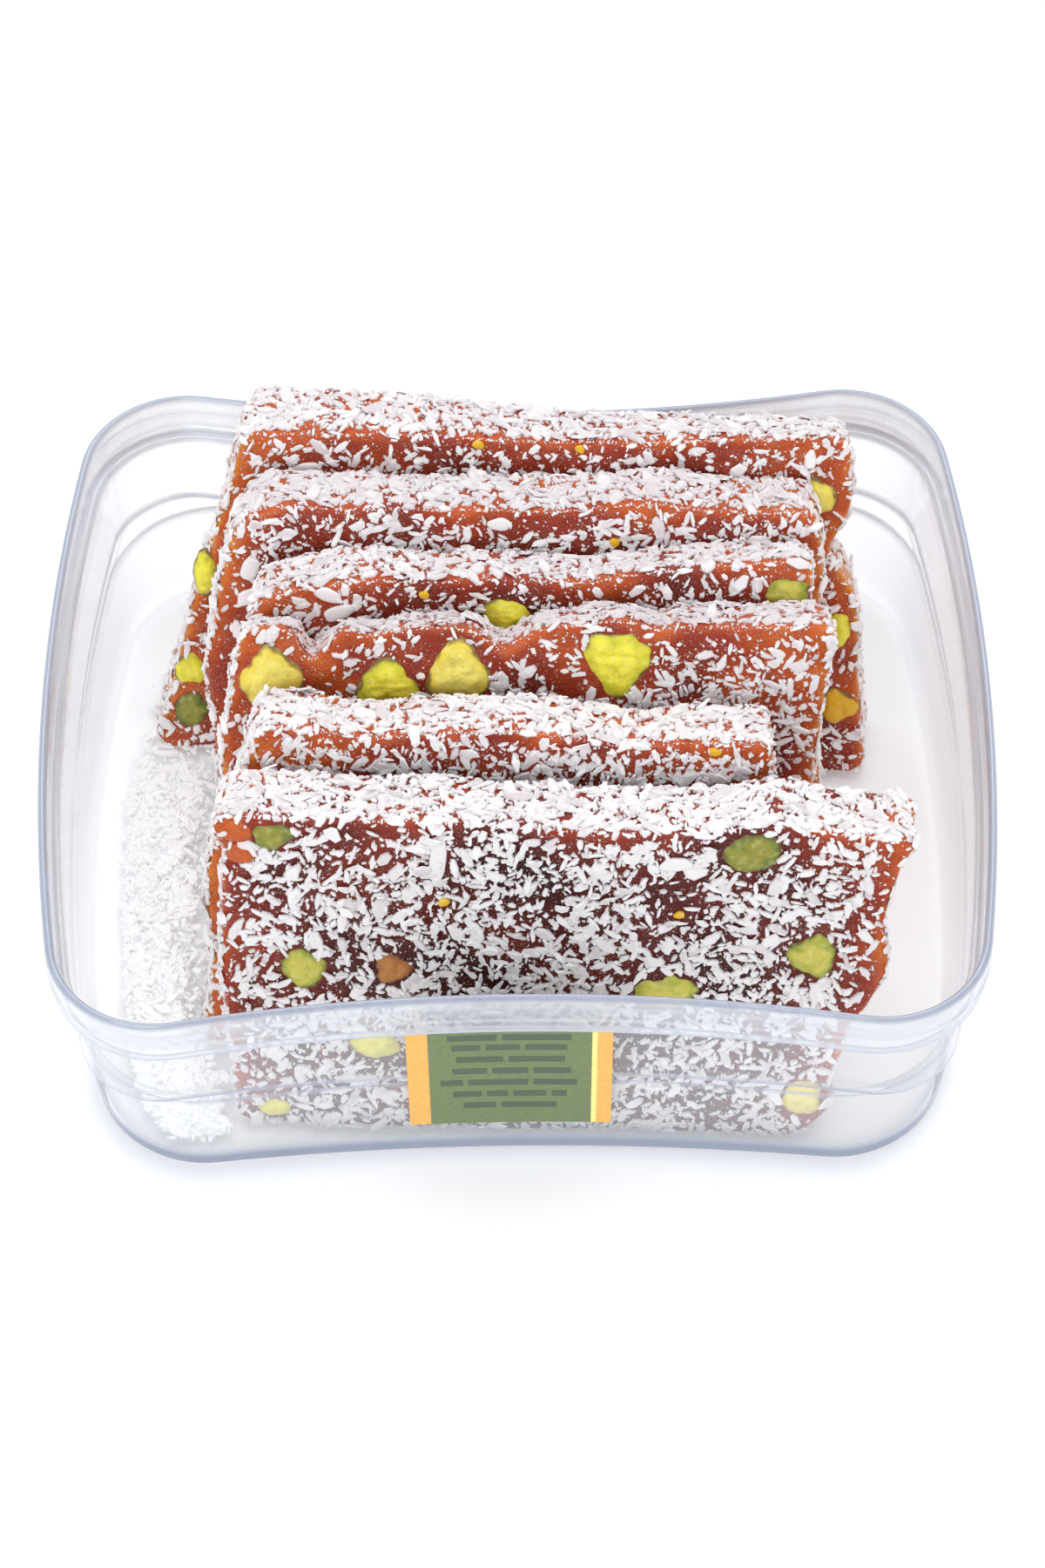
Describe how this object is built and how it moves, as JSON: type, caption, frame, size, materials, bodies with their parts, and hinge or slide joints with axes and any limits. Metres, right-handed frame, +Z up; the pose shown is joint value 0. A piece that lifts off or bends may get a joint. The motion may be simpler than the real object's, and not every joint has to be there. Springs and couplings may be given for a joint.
{
  "type": "pistachio cezerye in a tub",
  "caption": "Clear plastic tub of pistachio cezerye: dark red gel slabs coated in coconut, set with pistachio pieces and leaning back on edge, with loose coconut on the floor",
  "frame": {"origin": "middle of the tub's footprint, on the surface that it stands on", "axes": "+X along the slabs to the viewer's right, +Y from the labelled front wall to the back, +Z up"},
  "size_m": [0.1608, 0.1306, 0.065],
  "materials": {
    "clear_plastic": "clear glossy plastic with a faint blue tint",
    "label": "printed paper label, green field between amber bands",
    "coconut": "dry white desiccated coconut",
    "gel": "translucent dark red-brown fruit gel with a moist sheen",
    "pistachio": "cut yellow-green pistachio with a thin brown skin",
    "nut": "broken brown nut piece"
  },
  "bodies": {
    "root": {"tub": "clear_plastic", "label": "label", "loose_coconut": "coconut", "slab_1": "gel", "slab_2": "gel", "slab_3": "gel", "slab_4": "gel", "slab_5": "gel", "slab_6": "gel", "pistachio_1_1": "pistachio", "pistachio_1_2": "pistachio", "pistachio_1_3": "pistachio", "pistachio_1_4": "pistachio", "pistachio_1_5": "pistachio", "pistachio_1_6": "pistachio", "pistachio_1_7": "pistachio", "pistachio_1_8": "pistachio", "pistachio_3_1": "pistachio", "pistachio_3_2": "pistachio", "pistachio_3_3": "pistachio", "pistachio_3_4": "pistachio", "pistachio_4_1": "pistachio", "pistachio_4_2": "pistachio", "pistachio_6_1": "pistachio", "pistachio_6_2": "pistachio", "pistachio_6_3": "pistachio", "pistachio_6_4": "pistachio", "pistachio_6_5": "pistachio", "pistachio_6_6": "pistachio", "nut_bit": "nut"}
  },
  "joints": []
}
